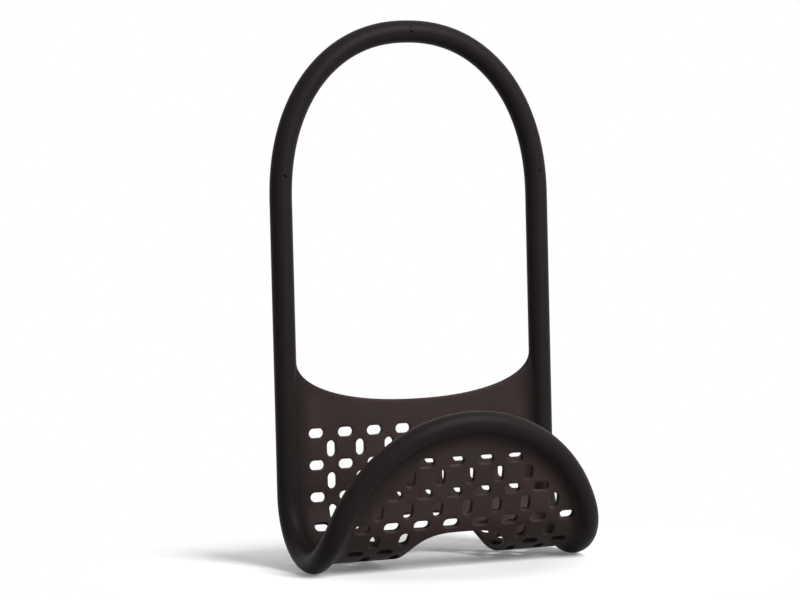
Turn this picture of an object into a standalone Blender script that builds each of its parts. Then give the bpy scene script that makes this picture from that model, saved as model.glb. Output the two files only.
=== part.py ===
"""Sink caddy: a soft sling moulded in one piece over a ring of bendable wire.

The moulding is drawn flat, as its own development, and then rolled round its
bend. Across the flat pattern runs u. Down it runs s, which starts where the
hoop's arch ends, goes down the back, round the bend and up the front flap.
Out of it, towards the outside of the sling, runs t.
The origin is the underside of the hoop's crown, where the caddy hangs.
"""

import math

import bmesh
import bpy

# Rim, by the centreline of its round tube
rim_half_width = 0.0498
rim_radius = 0.004
hoop_rise = 0.0598
hoop_power = 2.17
back_drop = 0.1037
bend_radius = 0.0214
flap_lean = math.radians(14.8)
flap_side = 0.0419
flap_round = 0.0529

# Web, the thin perforated wall inside the lower part of the rim
web_thickness = 0.002
web_fillet = 0.006
web_top = 0.072
web_top_depth = 0.016
web_top_power = 2.2

# Drain cut-out across the lowest part of the bend
drain_half_width = 0.0195
drain_half_length = 0.0224
drain_power = 3.3
drain_back_shift = 0.0013

# Slots, woven upright and level in turn
slot_length = 0.0058
slot_width = 0.0034
slot_pitch = 0.0111
slot_row_pitch = 0.0057
slot_first_row = 0.0135
slot_rim_land = 0.0008
slot_drain_land = 0.0008
slot_edge_land = 0.002

# Wire ring inside the rim, and the marks of the pins that held it in the mould
wire_radius = 0.00125
wire_clearance = 0.00035
pin_radius = 0.00055
shoulder_pin_rise = 0.009
crown_pin_drop = 0.0003
crown_pin_rise = 0.0016

# Cutters run past what they cut by this much
overrun = 0.001

# Finish of the two pieces
sharp_angle = math.radians(40)
elastomer_colour = (0.016, 0.015, 0.016)
elastomer_roughness = 0.55
wire_colour = (0.55, 0.55, 0.56)
wire_roughness = 0.35

# How finely the curves are stepped
hoop_steps = 28
flap_steps = 32
bend_steps = 16
merge_steps = 5
tube_steps = 11
fillet_steps = 3
wire_sides = 8
opening_steps = 22
drain_steps = 32
slot_end_steps = 3
pin_sides = 8

# Corners nearer than this are one corner
same_corner = 0.00001

# Worked out from the sizes above
half_web = web_thickness / 2
bend_angle = math.pi - flap_lean
bend_end = back_drop + bend_radius * bend_angle
drain_middle = back_drop + bend_radius * math.pi / 2 - drain_back_shift
flap_spring = back_drop + flap_side
flap_tip = flap_spring + flap_round
springing_height = rim_radius - hoop_rise
merge_start = web_top - web_top_depth
channel_radius = wire_radius + wire_clearance


def roll(u, s, t):
    """Place in the world of a point of the flat pattern."""
    if s <= back_drop:
        return (u, t, springing_height - s)
    angle = min((s - back_drop) / bend_radius, bend_angle)
    past = max(s - bend_end, 0)
    reach = bend_radius + t
    y = reach * math.cos(angle) - bend_radius - past * math.sin(angle)
    z = -back_drop - reach * math.sin(angle) - past * math.cos(angle)
    return (u, y, springing_height + z)


def spread(low, high, steps):
    """Evenly spaced values from low to high, both included."""
    return [low + (high - low) * k / steps for k in range(steps + 1)]


def merge_share(s):
    """How far the rim has turned from a bare tube, 0, into the root of the web, 1."""
    share = min(max((s - merge_start) / web_top_depth, 0), 1)
    return share * share * (3 - 2 * share)


def unit(u, s):
    """The direction (u, s) at length one."""
    length = math.hypot(u, s)
    return (u / length, s / length)


def oblong(angle, half_across, half_down, power):
    """Place (across, down) on a rounded oblong: an ellipse at power 2, squarer above it."""
    across = math.copysign(abs(math.cos(angle)) ** (2 / power), math.cos(angle))
    down = math.copysign(abs(math.sin(angle)) ** (2 / power), math.sin(angle))
    return (half_across * across, half_down * down)


def oblong_way(place, half_across, half_down, power):
    """Unit direction along a rounded oblong at a place on it."""
    across, down = place[0] / half_across, place[1] / half_down
    slope_across = math.copysign(abs(across) ** (power - 1), across) / half_across
    slope_down = math.copysign(abs(down) ** (power - 1), down) / half_down
    return unit(-slope_down, slope_across)


def bend_stations():
    """Values of s at which the pattern is creased to go round the bend."""
    return spread(back_drop, bend_end, bend_steps)


def leg_stations():
    """Values of s down one leg, from the hoop to the flap, without its two ends."""
    merging = spread(merge_start, web_top, merge_steps)
    return merging + [s for s in bend_stations() if s < flap_spring]


def round_end(rise, power, middle, turn, steps):
    """Stations round one end of the rim: the hoop's arch at turn 1, the flap's at turn -1."""
    stations = []
    for angle in spread(0, math.pi, steps):
        place = oblong(angle, rim_half_width, rise, power)
        way = oblong_way(place, rim_half_width, rise, power)
        stations.append(((turn * place[0], middle - turn * place[1]), (turn * way[0], -turn * way[1])))
    return stations


def rim_stations():
    """The rim's closed centreline: place (u, s) and unit direction (u, s) at each station."""
    stations = round_end(hoop_rise, hoop_power, 0, 1, hoop_steps)
    stations += [((-rim_half_width, s), (0, 1)) for s in leg_stations()]
    stations += round_end(flap_round, 2, flap_spring, -1, flap_steps)
    stations += [((rim_half_width, s), (0, -1)) for s in reversed(leg_stations())]
    return stations


def bare_section():
    """Section of the bare hoop: even points round the tube as (inward, outward)."""
    count = tube_steps + 2 * fillet_steps + 1
    angles = [2 * math.pi * (k + 0.5) / count for k in range(count)]
    return [(rim_radius * math.cos(a), rim_radius * math.sin(a)) for a in angles]


def rooted_section():
    """Section of the rim where it carries the web: fillet, tube and fillet."""
    reach = math.sqrt((rim_radius + web_fillet) ** 2 - (half_web + web_fillet) ** 2)
    touch = math.atan2(half_web + web_fillet, reach)
    upper = []
    for turn in spread(0, math.pi / 2 - touch, fillet_steps):
        height = half_web + web_fillet - web_fillet * math.cos(turn)
        upper.append((reach - web_fillet * math.sin(turn), height))
    lower = [(inward, -outward) for inward, outward in reversed(upper)]
    tube = []
    for angle in spread(touch, 2 * math.pi - touch, tube_steps)[1:-1]:
        tube.append((rim_radius * math.cos(angle), rim_radius * math.sin(angle)))
    return upper + tube + lower


def rim_section(s):
    """Section of the rim at s, between the bare and the rooted one."""
    share = merge_share(s)
    pairs = zip(bare_section(), rooted_section())
    return [(a[0] + (b[0] - a[0]) * share, a[1] + (b[1] - a[1]) * share) for a, b in pairs]


def on_section(station, inward, outward):
    """Flat place of a point of the section that stands at a station."""
    (u, s), (along_u, along_s) = station
    return (u + along_s * inward, s - along_u * inward, outward)


def bridge(bm, first, second, closed):
    """Quads between two rows of vertices of the same length."""
    last = len(first) if closed else len(first) - 1
    for k in range(last):
        after = (k + 1) % len(first)
        bm.faces.new((first[k], first[after], second[after], second[k]))


def web_edge_line():
    """Flat places along the web's concave top edge, from the left leg to the right one."""
    inward, bare_outward = bare_section()[0]
    places = []
    for angle in spread(math.pi, 0, opening_steps)[1:-1]:
        u, down = oblong(angle, rim_half_width - inward, web_top_depth, web_top_power)
        s = merge_start + down
        places.append((u, s, bare_outward + (half_web - bare_outward) * merge_share(s)))
    return places


def drain_line():
    """Flat outline (u, s) of the drain cut-out, a rounded oblong."""
    places = []
    for angle in spread(0, 2 * math.pi, drain_steps)[:-1]:
        u, down = oblong(angle, drain_half_width, drain_half_length, drain_power)
        places.append((u, drain_middle + down))
    return places


def ring_edges(bm, verts):
    """Edges of the closed line through the vertices, made where they are missing."""
    edges = []
    for k, vert in enumerate(verts):
        after = verts[(k + 1) % len(verts)]
        edges.append(bm.edges.get((vert, after)) or bm.edges.new((vert, after)))
    return edges


def sweep_rim(bm, stations):
    """Rings of the rim's section at the stations, joined into a strip that is open inwards."""
    rings = []
    for station in stations:
        section = rim_section(station[0][1])
        rings.append([bm.verts.new(on_section(station, *point)) for point in section])
    for k, ring in enumerate(rings):
        bridge(bm, ring, rings[(k + 1) % len(rings)], False)
    return rings


def close_hoop(bm, rings):
    """The rim's inner side along the hoop, where no web runs into it."""
    for ring, after in zip(rings, rings[1:]):
        bm.faces.new((ring[-1], ring[0], after[0], after[-1]))


def add_web(bm, roots, edges, drains):
    """Both faces of the web, each between its root in the rim, its top edge and the drain."""
    outer, inner = ([root[0]] + edge + [root[-1]] for root, edge in zip(roots, edges))
    bridge(bm, outer, inner, False)
    bridge(bm, drains[0], drains[1], True)
    for root, edge, drain in zip(roots, edges, drains):
        lines = ring_edges(bm, root + edge[::-1]) + ring_edges(bm, drain)
        bmesh.ops.triangle_fill(bm, use_beauty=True, use_dissolve=False, edges=lines)


def flat_moulding():
    """Rim and web as one closed flat body, with the drain cut-out."""
    bm = bmesh.new()
    stations = rim_stations()
    rings = sweep_rim(bm, stations)
    rooted = [k for k, (place, _) in enumerate(stations) if place[1] >= merge_start]
    first, last = rooted[0], rooted[-1]
    close_hoop(bm, rings[last:] + rings[:first + 1])

    roots, edges, drains = [], [], []
    for face, side in ((0, 1), (-1, -1)):
        roots.append([rings[k][face] for k in rooted])
        edges.append([bm.verts.new((u, s, side * outward)) for u, s, outward in web_edge_line()])
        drains.append([bm.verts.new((u, s, side * half_web)) for u, s in drain_line()])
    add_web(bm, roots, edges, drains)
    bmesh.ops.recalc_face_normals(bm, faces=bm.faces)
    return bm


def tube_along(bm, stations, radius):
    """A closed round tube of one radius along the rim's centreline."""
    angles = [2 * math.pi * (k + 0.5) / wire_sides for k in range(wire_sides)]
    section = [(radius * math.cos(a), radius * math.sin(a)) for a in angles]
    rings = [[bm.verts.new(on_section(station, *point)) for point in section] for station in stations]
    for k, ring in enumerate(rings):
        bridge(bm, ring, rings[(k + 1) % len(rings)], True)
    bmesh.ops.recalc_face_normals(bm, faces=bm.faces)


def rim_gap(u, s):
    """Distance from a flat place to the rim's centreline, below zero outside the rim."""
    if s <= flap_spring:
        return rim_half_width - abs(u)
    gap = min(math.hypot(u - place[0], s - place[1]) for place, along in rim_stations())
    outside = math.hypot(u / rim_half_width, (s - flap_spring) / flap_round) > 1
    return -gap if outside else gap


def slot_fits(u, s, upright):
    """Whether a slot keeps its land to the rim, the drain cut-out and the web's top edge."""
    half_across = (slot_width if upright else slot_length) / 2
    half_down = (slot_length if upright else slot_width) / 2
    for side, end in ((0, 0), (-1, 0), (1, 0), (0, -1), (0, 1)):
        place = (u + side * half_across, s + end * half_down)
        if rim_gap(*place) < rim_radius + slot_rim_land:
            return False
        across = abs(place[0]) / (drain_half_width + slot_drain_land)
        down = abs(place[1] - drain_middle) / (drain_half_length + slot_drain_land)
        if across ** drain_power + down ** drain_power < 1:
            return False
    return s - half_down > web_top + slot_edge_land


def slot_places():
    """Middle (u, s) of every slot, and whether it stands upright."""
    places = []
    rows = int((flap_tip - web_top) / slot_row_pitch)
    columns = int(rim_half_width / slot_pitch) + 1
    for row in range(rows):
        upright = row % 2 == 1
        shift = 0 if upright else slot_pitch / 2
        s = flap_tip - slot_first_row - row * slot_row_pitch
        for column in range(-columns, columns + 1):
            u = column * slot_pitch + shift
            if slot_fits(u, s, upright):
                places.append((u, s, upright))
    return places


def prism(bm, outline, depth):
    """A closed prism over the flat outline, as deep to each side of the pattern."""
    low = [bm.verts.new((u, s, -depth)) for u, s in outline]
    high = [bm.verts.new((u, s, depth)) for u, s in outline]
    bridge(bm, low, high, True)
    bm.faces.new(low)
    bm.faces.new(high)


def slot_cutter():
    """One prism with round ends for each slot."""
    bm = bmesh.new()
    straight = (slot_length - slot_width) / 2
    depth = rim_radius + overrun
    for u, s, upright in slot_places():
        outline = []
        for end in (1, -1):
            for turn in spread(0, math.pi, slot_end_steps):
                across = slot_width / 2 * math.cos(turn) * end
                down = (straight + slot_width / 2 * math.sin(turn)) * end
                outline.append((u + across, s + down) if upright else (u + down, s - across))
        prism(bm, outline, depth)
    bmesh.ops.recalc_face_normals(bm, faces=bm.faces)
    return bm


def pin_places():
    """Flat place (u, s) of every pin mark: one on each shoulder and two at the crown."""
    narrowing = (1 - (shoulder_pin_rise / hoop_rise) ** hoop_power) ** (1 / hoop_power)
    places = [(side * rim_half_width * narrowing, -shoulder_pin_rise) for side in (-1, 1)]
    return places + [(0, crown_pin_drop - hoop_rise), (0, -crown_pin_rise - hoop_rise)]


def pin_cutter():
    """Thin prisms through the rim at the pin marks, which met the wire from both sides."""
    bm = bmesh.new()
    depth = rim_radius + overrun
    for u, s in pin_places():
        turns = [2 * math.pi * (k + 0.5) / pin_sides for k in range(pin_sides)]
        outline = [(u + pin_radius * math.cos(a), s + pin_radius * math.sin(a)) for a in turns]
        prism(bm, outline, depth)
    bmesh.ops.recalc_face_normals(bm, faces=bm.faces)
    return bm


def channel_cutter():
    """The channel that the wire ring lies in."""
    bm = bmesh.new()
    tube_along(bm, rim_stations(), channel_radius)
    return bm


def as_object(name, bm):
    """A new object in the scene that takes over the mesh."""
    mesh = bpy.data.meshes.new(name)
    bm.to_mesh(mesh)
    bm.free()
    made = bpy.data.objects.new(name, mesh)
    bpy.context.collection.objects.link(made)
    return made


def cut(body, cutters):
    """The body's mesh with every cutter taken away, and the cutters deleted."""
    for cutter in cutters:
        modifier = body.modifiers.new(cutter.name, "BOOLEAN")
        modifier.operation = "DIFFERENCE"
        modifier.solver = "EXACT"
        modifier.object = cutter
    bpy.context.view_layer.update()
    evaluated = body.evaluated_get(bpy.context.evaluated_depsgraph_get())
    whole = body.data
    body.data = bpy.data.meshes.new_from_object(evaluated)
    body.modifiers.clear()
    bpy.data.meshes.remove(whole)
    for cutter in cutters:
        bpy.data.objects.remove(cutter)


def crease_and_roll(body):
    """Crease the flat mesh at the bend's stations and roll it into shape."""
    bm = bmesh.new()
    bm.from_mesh(body.data)
    for s in bend_stations():
        whole = bm.verts[:] + bm.edges[:] + bm.faces[:]
        bmesh.ops.bisect_plane(bm, geom=whole, dist=same_corner, plane_co=(0, s, 0), plane_no=(0, 1, 0))
    bmesh.ops.remove_doubles(bm, verts=bm.verts, dist=same_corner)
    bmesh.ops.triangulate(bm, faces=bm.faces)
    for vert in bm.verts:
        vert.co = roll(*vert.co)
    bm.to_mesh(body.data)
    bm.free()


def finish(body, colour, roughness, metallic):
    """Smooth shading with sharp edges kept, and the piece's own material."""
    body.data.shade_smooth()
    body.data.set_sharp_from_angle(angle=sharp_angle)
    material = bpy.data.materials.new(body.name)
    material.use_nodes = True
    shader = material.node_tree.nodes["Principled BSDF"]
    shader.inputs["Base Color"].default_value = (*colour, 1)
    shader.inputs["Roughness"].default_value = roughness
    shader.inputs["Metallic"].default_value = metallic
    body.data.materials.clear()
    body.data.materials.append(material)


def make_moulding():
    """The sling itself: round rim, filleted web, slots, drain cut-out and channel."""
    body = as_object("sling_moulding", flat_moulding())
    cutters = [as_object("slots", slot_cutter())]
    cutters.append(as_object("channel", channel_cutter()))
    cutters.append(as_object("pin_marks", pin_cutter()))
    cut(body, cutters)
    crease_and_roll(body)
    finish(body, elastomer_colour, elastomer_roughness, 0)
    return body


def make_wire():
    """The closed ring of bendable wire inside the rim."""
    bm = bmesh.new()
    tube_along(bm, rim_stations(), wire_radius)
    body = as_object("wire_core", bm)
    crease_and_roll(body)
    finish(body, wire_colour, wire_roughness, 1)
    return body


for leftover in list(bpy.data.objects):
    bpy.data.objects.remove(leftover, do_unlink=True)
caddy = bpy.data.objects.new("sink_caddy", None)
bpy.context.collection.objects.link(caddy)
for piece in (make_moulding(), make_wire()):
    piece.parent = caddy
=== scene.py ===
"""Looks of the sink caddy: a matt near-black sling of soft elastomer on a white studio floor.

The sling is drawn flat, as u across and s down its length, and rolled round its
bend, as in the part's source. t runs out of the flat pattern, to the outside.
"""

import math

import bmesh
import bpy
import numpy as np
from mathutils import Matrix, Vector
from mathutils.geometry import delaunay_2d_cdt


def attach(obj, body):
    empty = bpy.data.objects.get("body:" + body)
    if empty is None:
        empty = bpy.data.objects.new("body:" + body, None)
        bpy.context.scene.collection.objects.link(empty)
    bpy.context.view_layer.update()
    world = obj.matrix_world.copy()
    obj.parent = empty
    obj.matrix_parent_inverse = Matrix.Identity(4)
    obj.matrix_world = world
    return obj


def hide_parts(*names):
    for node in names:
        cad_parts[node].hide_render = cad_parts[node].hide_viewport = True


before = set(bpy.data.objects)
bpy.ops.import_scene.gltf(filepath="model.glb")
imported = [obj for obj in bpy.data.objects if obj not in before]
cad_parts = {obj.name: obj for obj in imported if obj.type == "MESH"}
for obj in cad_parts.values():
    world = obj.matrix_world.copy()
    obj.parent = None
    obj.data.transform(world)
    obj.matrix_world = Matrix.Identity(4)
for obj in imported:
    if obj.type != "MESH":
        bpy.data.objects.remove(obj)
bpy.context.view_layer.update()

# Sizes of the sling in metres and radians, as in the part's source, and the powers of its
# rounded oblongs
RIM_HALF_WIDTH = 0.0498
RIM_RADIUS = 0.004
HOOP_RISE = 0.0598
HOOP_POWER = 2.17
BACK_DROP = 0.1037
BEND_RADIUS = 0.0214
FLAP_LEAN = math.radians(14.8)
FLAP_SIDE = 0.0419
FLAP_ROUND = 0.0529
ELLIPSE = 2
HALF_WEB = 0.001
WEB_FILLET = 0.006
WEB_TOP = 0.072
WEB_TOP_DEPTH = 0.016
WEB_TOP_POWER = 2.2
DRAIN_HALF_WIDTH = 0.0195
DRAIN_HALF_LENGTH = 0.0224
DRAIN_POWER = 3.3
DRAIN_BACK_SHIFT = 0.0013
SLOT_LENGTH = 0.0058
SLOT_WIDTH = 0.0034
SLOT_PITCH = 0.0111
SLOT_ROW_PITCH = 0.0057
SLOT_FIRST_ROW = 0.0135
SLOT_RIM_LAND = 0.0008
SLOT_DRAIN_LAND = 0.0008
SLOT_EDGE_LAND = 0.002
PIN_RADIUS = 0.00055
PIN_FLOOR = 0.0003
PIN_DEPTH = 0.0006
SHOULDER_PIN_RISE = 0.009
CROWN_PIN_DROP = 0.0003
CROWN_PIN_RISE = 0.0016

# Softened edges: how round they are, where the rim's section starts on the web, and the depth
# over which the web's top edge grows out of the hoop
SLOT_EDGE = 0.0003
DRAIN_EDGE = 0.0004
TOP_EDGE = 0.0006
ROOT_INSET = 0.0039
EDGE_GROWTH = 0.010

# Fineness of the sling's mesh, and of the curves that it is measured on
ALONG_STEP = 0.0014
OPENING_STEP = 0.0007
TUBE_STEPS = 40
ROOT_STEPS = 3
EDGE_STEPS = 4
BAND_STEPS = 12
SLOT_ROUND_STEPS = 10
PIN_SIDES = 24
GRID_STEP = 0.0017
GRID_CLEAR = 0.0007
SHARP_ANGLE = math.radians(50)
FILLET_RINGS = (0.0044, 0.0049, 0.0055, 0.0061, 0.0067, 0.0073)
OUTLINE_SAMPLES = 4001
RIM_SAMPLES = 1601
SAME_PLACE = 1e-7

# Elastomer: linear colours, noises as (patch size, octaves, roughness), the ranges of them that
# carry an effect from none to full, and heights in metres
RIM_COLOUR = (0.0155, 0.0118, 0.0118)
# The thin web's lighter, browner colour is painted light shining through it
WEB_SHINE_THROUGH_COLOUR = (0.0472, 0.0320, 0.0302)
CLOUD_COLOUR = (0.016, 0.014, 0.0135)
WEAR_COLOUR = (0.035, 0.031, 0.030)
CLOUDS = (0.022, 3, 0.5)
PATCHES = (0.0016, 4, 0.6)
GRAIN = (0.00028, 2, 0.5)
CLOUD_RANGE = (0.35, 0.65)
GRAIN_RANGE = (0.35, 0.75)
WEAR_RANGE = (0.3, 0.7)
GLOSS_RANGE = (0.25, 0.75)
CLOUD_TINT = 0.3
GRAIN_TINT = 0.4
WEAR_TINT = 0.5
WEAR_GLOSS = 0.2
ROUGH_LOW = 0.42
ROUGH_HIGH = 0.52
PATCH_HEIGHT = 0.00005
GRAIN_HEIGHT = 0.00003
ELASTOMER_SPECULAR = 0.06
ELASTOMER_TINT = (1, 0.82, 0.84, 1)

# Wire
METAL_COLOUR = (0.62, 0.62, 0.63)
FILM_COLOUR = (0.50, 0.50, 0.51)
FILM = (0.004, 4, 0.6)
MARKS = (0.0003, 3, 0.5)
METAL_RANGE = (0.3, 0.7)
MARK_HEIGHT = 0.00001
METAL_SMOOTH = 0.3
METAL_ROUGH = 0.45

# Floor: what it sends back to the object and to the eye, and how far from the middle of the
# bend its glow, dimmed to a painted shadow under the bend, and then its plain white set in
FLOOR_HALF = 6.0
FLOOR_ALBEDO = 0.9
FLOOR_BOUNCE = 0.2
# Painted shadow under the bend: its glow there, and where it rises to the floor's glow
PAINTED_SHADOW_GLOW = 0.02
FLOOR_GLOW = 0.3
PAINTED_SHADOW_NEAR = 0.03
PAINTED_SHADOW_FAR = 0.07
FLOOR_NEAR = 0.078
FLOOR_FAR = 0.13

# Surroundings, and lamps as (name, place, width, height, power, whether gloss shows it). In
# gloss the back lamp would draw a light line along the outlines.
WORLD_LIGHT = 0.12
LIGHT_AIM = (0, 0, -0.08)
LIGHTS = (
    ("key", (0.50, -1.19, 0.86), 0.6, 1.1, 36, True),
    ("back", (0.55, 1.28, 0.15), 1.2, 0.9, 14, False),
)

# Camera: how it is turned, and how far the hoop's springing line is ahead, right and above
CAMERA_TURN = math.radians(22.679)
CAMERA_TILT = math.radians(-2.455)
CAMERA_ROLL = math.radians(-1.396)
CAMERA_DISTANCE = 0.982249
CAMERA_SIDE = 0.003914
CAMERA_LIFT = 0.036502
CAMERA_LENS = 123.02
CAMERA_SENSOR = 36
CAMERA_REACH = 50

BEND_ANGLE = math.pi - FLAP_LEAN
BEND_END = BACK_DROP + BEND_RADIUS * BEND_ANGLE
DRAIN_MIDDLE = BACK_DROP + BEND_RADIUS * math.pi / 2 - DRAIN_BACK_SHIFT
FLAP_SPRING = BACK_DROP + FLAP_SIDE
FLAP_TIP = FLAP_SPRING + FLAP_ROUND
SPRINGING_HEIGHT = RIM_RADIUS - HOOP_RISE
MERGE_START = WEB_TOP - WEB_TOP_DEPTH
FILLET_REACH = math.sqrt((RIM_RADIUS + WEB_FILLET) ** 2 - (HALF_WEB + WEB_FILLET) ** 2)
BARE_ANGLE = math.asin(HALF_WEB / RIM_RADIUS)
FLOOR_HEIGHT = SPRINGING_HEIGHT - BACK_DROP - BEND_RADIUS - RIM_RADIUS


def roll(points):
    """World places of flat points, an array of (u, s, t) rows."""
    u, s, t = points[:, 0], points[:, 1], points[:, 2]
    angle = np.clip((s - BACK_DROP) / BEND_RADIUS, 0, BEND_ANGLE)
    above = np.minimum(s, BACK_DROP)
    past = np.maximum(s - BEND_END, 0)
    reach = BEND_RADIUS + t
    y = reach * np.cos(angle) - BEND_RADIUS - past * np.sin(angle)
    z = -above - reach * np.sin(angle) - past * np.cos(angle)
    return np.column_stack((u, y, SPRINGING_HEIGHT + z))


def spread(low, high, steps):
    """Evenly spaced values from low to high, both included."""
    return [low + (high - low) * k / steps for k in range(steps + 1)]


def smooth(share):
    """A share from 0 to 1, eased at both ends."""
    share = min(max(share, 0), 1)
    return share * share * (3 - 2 * share)


def merge_share(s):
    """How far the rim has turned from a bare tube, 0, into the root of the web, 1."""
    return smooth((s - MERGE_START) / WEB_TOP_DEPTH)


def unit(u, s):
    """The direction (u, s) at length one."""
    length = math.hypot(u, s)
    return (u / length, s / length)


def superellipse(angle, half_across, half_down, power):
    """Place on a rounded oblong, and its outward unit direction."""
    c, d = math.cos(angle), math.sin(angle)
    across = math.copysign(abs(c) ** (2 / power), c)
    down = math.copysign(abs(d) ** (2 / power), d)
    slope_across = math.copysign(abs(across) ** (power - 1), c) / half_across
    slope_down = math.copysign(abs(down) ** (power - 1), d) / half_down
    return (half_across * across, half_down * down), unit(slope_across, slope_down)


def even_oblong(low, high, half_across, half_down, power, step):
    """Evenly spaced (place, outward direction) pairs along a stretch of a rounded oblong."""
    fine = np.linspace(low, high, OUTLINE_SAMPLES)
    places = np.array([superellipse(a, half_across, half_down, power)[0] for a in fine])
    run = np.concatenate(([0], np.cumsum(np.hypot(*np.diff(places, axis=0).T))))
    count = round(run[-1] / step)
    angles = np.interp(np.linspace(0, run[-1], count + 1), run, fine)
    return [superellipse(a, half_across, half_down, power) for a in angles]


def round_end(rise, power, middle, turn):
    """Even stations round one end of the rim: turn is 1 at the hoop and -1 at the flap."""
    line = even_oblong(0, math.pi, RIM_HALF_WIDTH, rise, power, ALONG_STEP)
    stations = []
    for (u, down), (out_u, out_s) in line:
        stations.append(((turn * u, middle - turn * down), (-turn * out_s, -turn * out_u)))
    return stations


def rim_stations():
    """The rim's closed centreline: place (u, s) and unit direction (u, s) at each station."""
    count = round(FLAP_SPRING / ALONG_STEP)
    leg = spread(0, FLAP_SPRING, count)[1:-1]
    merge_place = min(range(len(leg)), key=lambda k: abs(leg[k] - MERGE_START))
    leg[merge_place] = MERGE_START
    stations = round_end(HOOP_RISE, HOOP_POWER, 0, 1)
    stations += [((-RIM_HALF_WIDTH, s), (0, 1)) for s in leg]
    stations += round_end(FLAP_ROUND, ELLIPSE, FLAP_SPRING, -1)
    stations += [((RIM_HALF_WIDTH, s), (0, -1)) for s in reversed(leg)]
    return stations


def fillet_height(inward):
    """Half thickness of the sling at a distance inward from the rim's centreline."""
    short = np.clip(FILLET_REACH - inward, 0, WEB_FILLET)
    return HALF_WEB + WEB_FILLET - np.sqrt(WEB_FILLET ** 2 - short ** 2)


def rim_section(share):
    """Section of the rim as (inward, outward), from its outer root round to its inner root."""
    touch = math.atan2(HALF_WEB + WEB_FILLET, FILLET_REACH)
    touch_inward = RIM_RADIUS * math.cos(touch)
    rooted, bare = [], []
    for inward in spread(ROOT_INSET, touch_inward, ROOT_STEPS):
        rooted.append((inward, float(fillet_height(np.array(inward)))))
    for angle in spread(touch, math.pi, TUBE_STEPS // 2)[1:]:
        rooted.append((RIM_RADIUS * math.cos(angle), RIM_RADIUS * math.sin(angle)))
    for angle in spread(BARE_ANGLE, math.pi, len(rooted) - 1):
        bare.append((RIM_RADIUS * math.cos(angle), RIM_RADIUS * math.sin(angle)))
    half = []
    for a, b in zip(bare, rooted):
        half.append((a[0] + (b[0] - a[0]) * share, a[1] + (b[1] - a[1]) * share))
    return half + [(inward, -outward) for inward, outward in reversed(half[:-1])]


def on_section(station, inward, outward):
    """Flat place of a point of the section that stands at a station."""
    (u, s), (along_u, along_s) = station
    return (u + along_s * inward, s - along_u * inward, outward)


def round_over(edge, half_height):
    """Section of a softened edge as (inset, outward), from the outer face to the inner one."""
    pairs = []
    for turn in spread(0, math.pi / 2, EDGE_STEPS):
        pairs.append((edge * (1 - math.sin(turn)), half_height - edge * (1 - math.cos(turn))))
    return pairs + [(inset, -outward) for inset, outward in reversed(pairs)]


def round_over_wear():
    """How worn each point of round_over is: most in the middle of each rounding."""
    wear = [math.sin(2 * turn) for turn in spread(0, math.pi / 2, EDGE_STEPS)]
    return wear + wear[::-1]


def rim_gap(places):
    """Distance of flat places, rows of (u, s), to the rim's centreline."""
    fine = np.linspace(0, math.pi, RIM_SAMPLES)
    curve_u = RIM_HALF_WIDTH * np.cos(fine)
    curve_s = FLAP_SPRING + FLAP_ROUND * np.sin(fine)
    gap = RIM_HALF_WIDTH - np.abs(places[:, 0])
    for k in np.nonzero(places[:, 1] > FLAP_SPRING)[0]:
        u, s = places[k]
        gap[k] = np.min(np.hypot(curve_u - u, curve_s - s))
        if (u / RIM_HALF_WIDTH) ** 2 + ((s - FLAP_SPRING) / FLAP_ROUND) ** 2 > 1:
            gap[k] = -gap[k]
    return gap


def half_thickness(places):
    """Half thickness of the web and its fillet at flat places, rows of (u, s)."""
    gap = rim_gap(places)
    share = np.array([merge_share(s) for s in places[:, 1]])
    return HALF_WEB + (fillet_height(gap) - HALF_WEB) * share


def slot_fits(u, s, upright):
    """Whether a slot keeps its land to the rim, the drain cut-out and the web's top edge."""
    half_across = (SLOT_WIDTH if upright else SLOT_LENGTH) / 2
    half_down = (SLOT_LENGTH if upright else SLOT_WIDTH) / 2
    for side, end in ((-1, 0), (1, 0), (0, -1), (0, 1), (0, 0)):
        place = (u + side * half_across, s + end * half_down)
        if rim_gap(np.array([place]))[0] < RIM_RADIUS + SLOT_RIM_LAND:
            return False
        across = abs(place[0]) / (DRAIN_HALF_WIDTH + SLOT_DRAIN_LAND)
        down = abs(place[1] - DRAIN_MIDDLE) / (DRAIN_HALF_LENGTH + SLOT_DRAIN_LAND)
        if across ** DRAIN_POWER + down ** DRAIN_POWER < 1:
            return False
    return s - half_down > WEB_TOP + SLOT_EDGE_LAND


def slot_places():
    """Middle (u, s) of every slot, and whether it stands upright."""
    places = []
    columns = int(RIM_HALF_WIDTH / SLOT_PITCH) + 1
    for row in range(int((FLAP_TIP - WEB_TOP) / SLOT_ROW_PITCH)):
        upright = row % 2 == 1
        s = FLAP_TIP - SLOT_FIRST_ROW - row * SLOT_ROW_PITCH
        for column in range(-columns, columns + 1):
            u = column * SLOT_PITCH + (0 if upright else SLOT_PITCH / 2)
            if slot_fits(u, s, upright):
                places.append((u, s, upright))
    return places


def slot_outline(u, s, upright):
    """(place, outward direction) pairs round one slot."""
    straight = (SLOT_LENGTH - SLOT_WIDTH) / 2
    pairs = []
    for end in (1, -1):
        for turn in spread(0, math.pi, SLOT_ROUND_STEPS):
            out = (math.cos(turn) * end, math.sin(turn) * end)
            place = (SLOT_WIDTH / 2 * out[0], straight * end + SLOT_WIDTH / 2 * out[1])
            pairs.append((place, out))
    if upright:
        return [((u + x, s + y), (a, b)) for (x, y), (a, b) in pairs]
    return [((u + y, s - x), (b, -a)) for (x, y), (a, b) in pairs]


class SlingMesh:
    """Gathers the flat vertices and the faces of the sling."""

    def __init__(self):
        self.points = []
        self.wear = []
        self.faces = []

    def row(self, places, wear=0):
        """Add a row of vertices, each as worn as it says, and return their numbers."""
        start = len(self.points)
        self.points.extend(places)
        self.wear.extend([wear] * len(places))
        return list(range(start, len(self.points)))

    def bridge(self, first, second, closed=False):
        """Quads between two rows of the same length."""
        count = len(first)
        for k in range(count if closed else count - 1):
            after = (k + 1) % count
            self.faces.append((first[k], first[after], second[after], second[k]))


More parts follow.
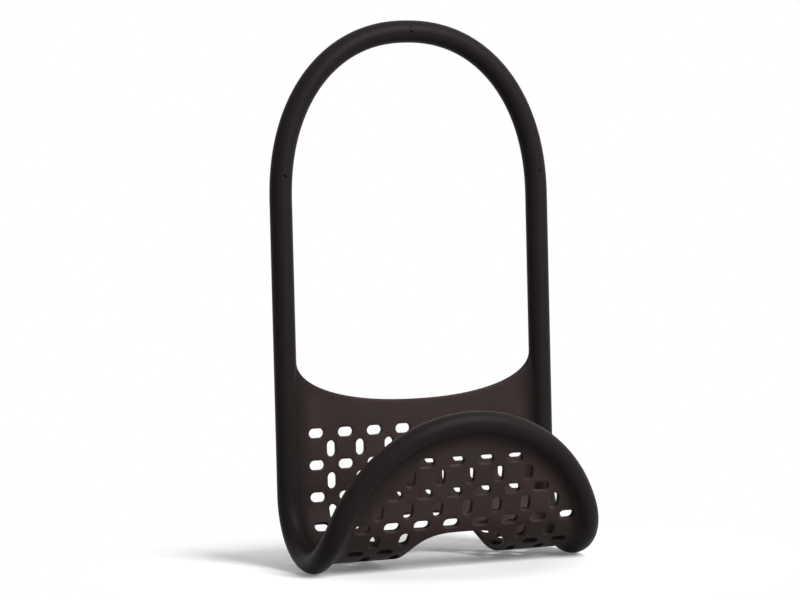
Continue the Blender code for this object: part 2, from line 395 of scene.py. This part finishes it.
def opening_wall(mesh, outline, edge):
    """Add the softened wall of an opening, and return its lines on the outer and inner face."""
    rows = []
    face_places = np.array([(p[0] + d[0] * edge, p[1] + d[1] * edge) for p, d in outline])
    heights = half_thickness(face_places)
    wear = round_over_wear()
    for k, (inset, _) in enumerate(round_over(edge, 0)):
        row = []
        for (place, out), height in zip(outline, heights):
            t = round_over(edge, height)[k][1]
            row.append((place[0] + out[0] * inset, place[1] + out[1] * inset, t))
        rows.append(mesh.row(row, wear[k]))
    for upper, lower in zip(rows, rows[1:]):
        mesh.bridge(upper, lower, closed=True)
    return rows[0], rows[-1]


def hoop_band(mesh, stations, rings, first, last):
    """Inner side of the hoop, which runs on as the softened top edge of the web."""
    hoop = list(range(last, len(rings))) + list(range(first + 1))
    columns = spread(BARE_ANGLE, -BARE_ANGLE, BAND_STEPS)
    rounding = resampled(round_over(TOP_EDGE, HALF_WEB), BAND_STEPS)
    inner = [(RIM_RADIUS * math.cos(a), RIM_RADIUS * math.sin(a)) for a in columns[1:-1]]
    band = []
    for k in hoop:
        row = mesh.row([on_section(stations[k], *point) for point in inner])
        band.append([rings[k][0]] + row + [rings[k][-1]])
    edge = []
    half_span = RIM_HALF_WIDTH - RIM_RADIUS * math.cos(BARE_ANGLE)
    line = even_oblong(math.pi, 0, half_span, WEB_TOP_DEPTH, WEB_TOP_POWER, OPENING_STEP)
    for (u, down), out in line[1:-1]:
        grown = smooth(down / EDGE_GROWTH)
        row = []
        for angle, (inset, t) in zip(columns, rounding):
            bulge = RIM_RADIUS * (math.cos(BARE_ANGLE) - math.cos(angle))
            offset = bulge + (inset - bulge) * grown
            outward = RIM_RADIUS * math.sin(angle)
            outward += (t - outward) * grown
            row.append((u + out[0] * offset, MERGE_START + down + out[1] * offset, outward))
        edge.append(mesh.row(row))
    loop = band + edge
    for k, row in enumerate(loop):
        mesh.bridge(row, loop[(k + 1) % len(loop)])
    return [row[0] for row in edge], [row[-1] for row in edge]


def resampled(pairs, steps):
    """The same line of pairs, with evenly spaced points."""
    line = np.array(pairs)
    run = np.concatenate(([0], np.cumsum(np.hypot(*np.diff(line, axis=0).T))))
    even = np.linspace(0, run[-1], steps + 1)
    return list(zip(np.interp(even, run, line[:, 0]), np.interp(even, run, line[:, 1])))


def line_gap(place, starts, ends):
    """Distance of a flat place to the nearest of many stretches."""
    run = ends - starts
    share = np.clip(np.sum((place - starts) * run, axis=1) / np.sum(run * run, axis=1), 0, 1)
    return np.min(np.hypot(*(starts + share[:, None] * run - place).T))


def grid_places(lines):
    """Loose points inside the web, clear of every line that bounds it."""
    rings = []
    for gap in FILLET_RINGS:
        for station in rim_stations():
            if station[0][1] > WEB_TOP:
                rings.append(on_section(station, gap, 0)[:2])
    rows = int((FLAP_TIP - MERGE_START) / GRID_STEP)
    columns = int(RIM_HALF_WIDTH / GRID_STEP)
    loose = []
    for row in range(rows):
        for column in range(-columns, columns + 1):
            shift = GRID_STEP / 2 if row % 2 else 0
            loose.append((column * GRID_STEP + shift, MERGE_START + row * GRID_STEP))
    loose = np.array(loose)
    loose = loose[rim_gap(loose) > FILLET_RINGS[-1] + GRID_CLEAR]
    places = np.vstack((np.array(rings), loose))
    starts = np.array([place for line in lines for place in line])
    ends = np.array([place for line in lines for place in line[1:] + line[:1]])
    return places[np.array([line_gap(place, starts, ends) > GRID_CLEAR for place in places])]


def inside(places, line):
    """Which flat places lie inside a closed line."""
    u, s = places[:, 0], places[:, 1]
    found = np.zeros(len(places), bool)
    for k in range(len(line)):
        (u0, s0), (u1, s1) = line[k - 1], line[k]
        crosses = (s0 > s) != (s1 > s)
        with np.errstate(divide="ignore", invalid="ignore"):
            at = u0 + (s - s0) * (u1 - u0) / (s1 - s0)
        found ^= crosses & (u < at)
    return found


def fill_web(mesh, boundary, holes):
    """Fill both faces of the web between its boundary and its openings.

    boundary and each of holes is a pair of vertex rows, on the outer and the inner face.
    """
    lines = [[mesh.points[k][:2] for k in outer] for outer, _ in [boundary] + holes]
    loose = grid_places(lines)
    loose = loose[inside(loose, lines[0])]
    for line in lines[1:]:
        loose = loose[~inside(loose, line)]
    flat = [Vector(place) for line in lines for place in line]
    flat += [Vector(place) for place in loose]
    edges, start = [], 0
    for line in lines:
        edges += [(start + k, start + (k + 1) % len(line)) for k in range(len(line))]
        start += len(line)
    places, _, faces, origins, _, _ = delaunay_2d_cdt(flat, edges, [], 0, SAME_PLACE)
    fixed_outer = [k for outer, _ in [boundary] + holes for k in outer]
    fixed_inner = [k for _, inner in [boundary] + holes for k in inner]
    outer_ids, inner_ids, new = {}, {}, []
    for k, source in enumerate(origins):
        first = min(source) if source else len(flat)
        if first < len(fixed_outer):
            outer_ids[k] = fixed_outer[first]
            inner_ids[k] = fixed_inner[first]
        else:
            new.append(k)
    new_places = np.array([tuple(places[k]) for k in new])
    heights = half_thickness(new_places)
    for ids, side in ((outer_ids, 1), (inner_ids, -1)):
        row = mesh.row([(u, s, side * h) for (u, s), h in zip(new_places, heights)])
        ids.update(zip(new, row))
    middles = np.array([np.mean([tuple(places[k]) for k in face], axis=0) for face in faces])
    keep = inside(middles, lines[0])
    for line in lines[1:]:
        keep &= ~inside(middles, line)
    for face in np.array(faces, dtype=object)[keep]:
        mesh.faces.append(tuple(outer_ids[k] for k in face))
        mesh.faces.append(tuple(inner_ids[k] for k in reversed(face)))


def sling_mesh():
    """The whole sling: rim, hoop, web, slots, drain cut-out and top edge."""
    mesh = SlingMesh()
    stations = rim_stations()
    rings = []
    for station in stations:
        section = rim_section(merge_share(station[0][1]))
        rings.append(mesh.row([on_section(station, *point) for point in section]))
    for k, ring in enumerate(rings):
        mesh.bridge(ring, rings[(k + 1) % len(rings)])
    rooted = [k for k, (place, _) in enumerate(stations) if place[1] >= MERGE_START]
    first, last = rooted[0], rooted[-1]
    top = hoop_band(mesh, stations, rings, first, last)
    boundary = []
    for side, face in ((0, 0), (1, -1)):
        boundary.append([rings[k][face] for k in rooted] + top[side][::-1])
    holes = []
    for u, s, upright in slot_places():
        holes.append(opening_wall(mesh, slot_outline(u, s, upright), SLOT_EDGE))
    drain = even_oblong(
        0, 2 * math.pi, DRAIN_HALF_WIDTH, DRAIN_HALF_LENGTH, DRAIN_POWER, OPENING_STEP)
    drain = [((u, DRAIN_MIDDLE + s), out) for (u, s), out in drain[:-1]]
    holes.append(opening_wall(mesh, drain, DRAIN_EDGE))
    fill_web(mesh, boundary, holes)
    return mesh


def pin_places():
    """Flat places (u, s) of the pin marks: one on each shoulder and two at the crown."""
    narrowing = (1 - (SHOULDER_PIN_RISE / HOOP_RISE) ** HOOP_POWER) ** (1 / HOOP_POWER)
    places = [(side * RIM_HALF_WIDTH * narrowing, -SHOULDER_PIN_RISE) for side in (-1, 1)]
    return places + [(0, CROWN_PIN_DROP - HOOP_RISE), (0, -CROWN_PIN_RISE - HOOP_RISE)]


def cut_pin_marks(sling):
    """Sink the pits of the mould's pins into both faces of the hoop."""
    bm = bmesh.new()
    for u, s in pin_places():
        for side in (-1, 1):
            place = Matrix.Translation((u, side * RIM_RADIUS, SPRINGING_HEIGHT - s))
            turn = Matrix.Rotation(-side * math.pi / 2, 4, "X")
            bmesh.ops.create_cone(
                bm, cap_ends=True, segments=PIN_SIDES, radius1=PIN_FLOOR,
                radius2=2 * PIN_RADIUS - PIN_FLOOR, depth=2 * PIN_DEPTH, matrix=place @ turn)
    mesh = bpy.data.meshes.new("pins")
    bm.to_mesh(mesh)
    bm.free()
    pins = bpy.data.objects.new("pins", mesh)
    bpy.context.collection.objects.link(pins)
    modifier = sling.modifiers.new("pins", "BOOLEAN")
    modifier.operation = "DIFFERENCE"
    modifier.solver = "EXACT"
    modifier.object = pins
    bpy.context.view_layer.update()
    evaluated = sling.evaluated_get(bpy.context.evaluated_depsgraph_get())
    sling.data = bpy.data.meshes.new_from_object(evaluated)
    sling.modifiers.clear()
    bpy.data.objects.remove(pins)


def keep_share(mesh, name, values):
    """Keep one share for each vertex, for the material to read."""
    attribute = mesh.attributes.new(name, "FLOAT", "POINT")
    attribute.data.foreach_set("value", np.asarray(values, dtype=np.float32))


def make_sling():
    """The sling as one smooth object, with its thin places, which carry painted light shining
    through the web, and its worn places kept at each vertex.
    """
    flat = sling_mesh()
    points = np.array(flat.points)
    mesh = bpy.data.meshes.new("sling")
    mesh.from_pydata(roll(points).tolist(), [], flat.faces)
    inward = np.clip((rim_gap(points[:, :2]) - RIM_RADIUS) / WEB_FILLET, 0, 1)
    merged = np.array([merge_share(s) for s in points[:, 1]])
    # Share of the thin web, which carries painted light shining through it
    keep_share(mesh, "shine_through_share", inward * merged)
    keep_share(mesh, "wear_share", flat.wear)
    bm = bmesh.new()
    bm.from_mesh(mesh)
    bmesh.ops.recalc_face_normals(bm, faces=bm.faces)
    if bm.calc_volume(signed=True) < 0:
        bmesh.ops.reverse_faces(bm, faces=bm.faces)
    bm.to_mesh(mesh)
    bm.free()
    sling = bpy.data.objects.new("sling", mesh)
    bpy.context.collection.objects.link(sling)
    cut_pin_marks(sling)
    sling.data.shade_smooth()
    sling.data.set_sharp_from_angle(angle=SHARP_ANGLE)
    return sling


class Graph:
    """Node tree of a material or the world, with short calls for the nodes used here."""

    def __init__(self, owner):
        owner.use_nodes = True
        self.tree = owner.node_tree

    def node(self, kind, **inputs):
        """A new node with values or links on its named inputs."""
        made = self.tree.nodes.new(kind)
        for name, value in inputs.items():
            self.set(made, name.replace("_", " "), value)
        return made

    def feed(self, socket, value):
        """Link another socket to an input, or set the input's value."""
        if isinstance(value, bpy.types.NodeSocket):
            self.tree.links.new(value, socket)
        else:
            socket.default_value = value

    def set(self, node, which, value):
        """Feed the input of a node that has a name or a place."""
        self.feed(node.inputs[which], value)

    def math(self, operation, first, second, clamp=False):
        """Arithmetic on two sockets or numbers."""
        made = self.tree.nodes.new("ShaderNodeMath")
        made.operation = operation
        made.use_clamp = clamp
        self.set(made, 0, first)
        self.set(made, 1, second)
        return made.outputs[0]

    def remap(self, value, from_low, from_high, to_low, to_high):
        """A value carried smoothly from one range to another."""
        made = self.tree.nodes.new("ShaderNodeMapRange")
        made.interpolation_type = "SMOOTHSTEP"
        for place, given in enumerate((value, from_low, from_high, to_low, to_high)):
            self.set(made, place, given)
        return made.outputs[0]

    def noise(self, place, size, octaves, roughness):
        """Noise whose patches measure about the size, in metres."""
        made = self.node("ShaderNodeTexNoise", Vector=place, Scale=1 / size, Detail=octaves)
        self.set(made, "Roughness", roughness)
        return made.outputs[0]

    def mix(self, share, first, second):
        """A colour between two others."""
        made = self.tree.nodes.new("ShaderNodeMix")
        made.data_type = "RGBA"
        sockets = [socket for socket in made.inputs if socket.type == "RGBA"]
        self.set(made, 0, share)
        for socket, colour in zip(sockets, (first, second)):
            self.feed(socket, (*colour, 1) if isinstance(colour, tuple) else colour)
        return next(socket for socket in made.outputs if socket.type == "RGBA")

    def blend(self, share, first, second):
        """A surface between two others."""
        made = self.tree.nodes.new("ShaderNodeMixShader")
        for place, given in enumerate((share, first.outputs[0], second.outputs[0])):
            self.set(made, place, given)
        return made

    def share(self, name):
        """A share kept at the mesh's vertices."""
        made = self.tree.nodes.new("ShaderNodeAttribute")
        made.attribute_name = name
        return made.outputs["Fac"]

    def bump(self, pattern, height, under=None):
        """A bump of a height in metres, over another one if it is given."""
        made = self.node("ShaderNodeBump", Height=pattern, Distance=height, Strength=1)
        if under is not None:
            self.set(made, "Normal", under)
        return made.outputs["Normal"]

    def seen_directly(self):
        """1 for what is seen, also in gloss or glass, and 0 for what lights the object."""
        path = self.tree.nodes.new("ShaderNodeLightPath")
        seen = path.outputs["Is Camera Ray"]
        for way in ("Is Glossy Ray", "Is Transmission Ray"):
            seen = self.math("ADD", seen, path.outputs[way], True)
        return seen


def elastomer():
    """Matt soft-touch elastomer: fine mould grain, cloudy colour and gloss, rubbed edges, and
    painted light shining through the thin web.
    """
    material = bpy.data.materials.new("elastomer")
    graph = Graph(material)
    shader = graph.tree.nodes["Principled BSDF"]
    place = graph.node("ShaderNodeTexCoord").outputs["Object"]
    clouds = graph.noise(place, *CLOUDS)
    patches = graph.noise(place, *PATCHES)
    grain = graph.noise(place, *GRAIN)

    # Painted light: the thin web is coloured lighter and browner, as if lit through from behind
    colour = graph.mix(graph.share("shine_through_share"), RIM_COLOUR, WEB_SHINE_THROUGH_COLOUR)
    cloudy = graph.remap(clouds, *CLOUD_RANGE, 0, CLOUD_TINT)
    colour = graph.mix(cloudy, colour, CLOUD_COLOUR)
    grainy = graph.remap(grain, *GRAIN_RANGE, 0, GRAIN_TINT)
    colour = graph.mix(grainy, colour, CLOUD_COLOUR)
    wear = graph.remap(patches, *WEAR_RANGE, 0, WEAR_TINT)
    rubbed = graph.math("MULTIPLY", graph.share("wear_share"), wear)
    colour = graph.mix(rubbed, colour, WEAR_COLOUR)
    graph.set(shader, "Base Color", colour)

    rough = graph.remap(patches, *GLOSS_RANGE, ROUGH_HIGH, ROUGH_LOW)
    rough = graph.math("SUBTRACT", rough, graph.math("MULTIPLY", rubbed, WEAR_GLOSS))
    graph.set(shader, "Roughness", rough)
    skin = graph.bump(patches, PATCH_HEIGHT)
    graph.set(shader, "Normal", graph.bump(grain, GRAIN_HEIGHT, skin))
    graph.set(shader, "Specular IOR Level", ELASTOMER_SPECULAR)
    graph.set(shader, "Specular Tint", ELASTOMER_TINT)
    return material


def wire_metal():
    """Drawn aluminium wire: dull film over a brighter metal, with fine draw marks."""
    material = bpy.data.materials.new("wire")
    graph = Graph(material)
    shader = graph.tree.nodes["Principled BSDF"]
    place = graph.node("ShaderNodeTexCoord").outputs["Object"]
    film = graph.noise(place, *FILM)
    marks = graph.noise(place, *MARKS)
    dull = graph.remap(film, *METAL_RANGE, 0, 1)
    graph.set(shader, "Base Color", graph.mix(dull, METAL_COLOUR, FILM_COLOUR))
    graph.set(shader, "Roughness", graph.remap(marks, *METAL_RANGE, METAL_SMOOTH, METAL_ROUGH))
    graph.set(shader, "Normal", graph.bump(marks, MARK_HEIGHT))
    graph.set(shader, "Metallic", 1)
    return material


def floor_white():
    """Floor that reads white, keeps the object's shadow and has no horizon.

    Its glow is dimmed to a painted shadow under the bend, and it is clear to look at from
    below.
    """
    material = bpy.data.materials.new("floor")
    graph = Graph(material)
    graph.tree.nodes.clear()
    seen = graph.seen_directly()
    place = graph.node("ShaderNodeTexCoord").outputs["Object"]
    length = graph.tree.nodes.new("ShaderNodeVectorMath")
    length.operation = "LENGTH"
    graph.set(length, 0, place)
    away = length.outputs["Value"]
    colour = graph.remap(seen, 0, 1, FLOOR_BOUNCE, FLOOR_ALBEDO)
    diffuse = graph.node("ShaderNodeBsdfDiffuse", Color=colour)
    # Painted shadow: the glow is dimmed near the middle of the bend
    strength = graph.remap(away, PAINTED_SHADOW_NEAR, PAINTED_SHADOW_FAR, PAINTED_SHADOW_GLOW, FLOOR_GLOW)
    glow = graph.node("ShaderNodeEmission", Strength=graph.math("MULTIPLY", seen, strength))
    near = graph.node("ShaderNodeAddShader")
    graph.set(near, 0, diffuse.outputs[0])
    graph.set(near, 1, glow.outputs[0])
    white = graph.node("ShaderNodeEmission", Strength=1)
    far = graph.remap(away, FLOOR_NEAR, FLOOR_FAR, 0, 1)
    upper = graph.blend(graph.math("MULTIPLY", far, seen), near, white)
    below = graph.tree.nodes.new("ShaderNodeNewGeometry").outputs["Backfacing"]
    clear = graph.node("ShaderNodeBsdfTransparent")
    whole = graph.blend(graph.math("MULTIPLY", below, seen), upper, clear)
    output = graph.node("ShaderNodeOutputMaterial", Surface=whole.outputs[0])
    output.is_active_output = True
    return material


def make_floor():
    """A wide flat floor under the lowest point of the rim."""
    mesh = bpy.data.meshes.new("floor")
    signs = ((-1, -1), (1, -1), (1, 1), (-1, 1))
    corners = [(x * FLOOR_HALF, y * FLOOR_HALF, 0) for x, y in signs]
    mesh.from_pydata(corners, [], [(0, 1, 2, 3)])
    floor = bpy.data.objects.new("floor", mesh)
    floor.location = (0, -BEND_RADIUS, FLOOR_HEIGHT)
    bpy.context.collection.objects.link(floor)
    mesh.materials.append(floor_white())


def soft_light(name, place, width, height, power, in_gloss):
    """A soft box of a lamp at a place, aimed at the middle of the caddy."""
    lamp = bpy.data.lights.new(name, "AREA")
    lamp.shape = "RECTANGLE"
    lamp.size = width
    lamp.size_y = height
    lamp.energy = power
    made = bpy.data.objects.new(name, lamp)
    made.visible_camera = False
    made.visible_glossy = in_gloss
    made.location = place
    aim = Vector(LIGHT_AIM) - Vector(place)
    made.rotation_euler = aim.to_track_quat("-Z", "Y").to_euler()
    bpy.context.collection.objects.link(made)


def make_world():
    """Surroundings that are white to look at and dimmer as a light."""
    world = bpy.data.worlds.new("studio")
    bpy.context.scene.world = world
    graph = Graph(world)
    background = graph.tree.nodes["Background"]
    graph.set(background, "Color", (1, 1, 1, 1))
    graph.set(background, "Strength", graph.remap(graph.seen_directly(), 0, 1, WORLD_LIGHT, 1))


def make_camera():
    """The camera at the photograph's viewing angle."""
    ahead = Vector((
        math.sin(CAMERA_TURN) * math.cos(CAMERA_TILT),
        math.cos(CAMERA_TURN) * math.cos(CAMERA_TILT),
        math.sin(CAMERA_TILT),
    ))
    level = Vector((math.cos(CAMERA_TURN), -math.sin(CAMERA_TURN), 0))
    upright = level.cross(ahead)
    right = level * math.cos(CAMERA_ROLL) + upright * math.sin(CAMERA_ROLL)
    up = upright * math.cos(CAMERA_ROLL) - level * math.sin(CAMERA_ROLL)
    place = -(ahead * CAMERA_DISTANCE + right * CAMERA_SIDE + up * CAMERA_LIFT)
    place.z += SPRINGING_HEIGHT
    data = bpy.data.cameras.new("camera")
    data.lens = CAMERA_LENS
    data.sensor_width = CAMERA_SENSOR
    data.clip_end = CAMERA_REACH
    camera = bpy.data.objects.new("camera", data)
    turn = Matrix((right, up, -ahead)).transposed().to_4x4()
    camera.matrix_world = Matrix.Translation(place) @ turn
    bpy.context.collection.objects.link(camera)
    bpy.context.scene.camera = camera


sling = make_sling()
sling.data.materials.append(elastomer())
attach(sling, "root")
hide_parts("sling_moulding")

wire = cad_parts["wire_core"]
wire.data.materials.clear()
wire.data.materials.append(wire_metal())

make_floor()
make_world()
make_camera()
for light in LIGHTS:
    soft_light(*light)
bpy.context.scene.view_settings.view_transform = "Standard"
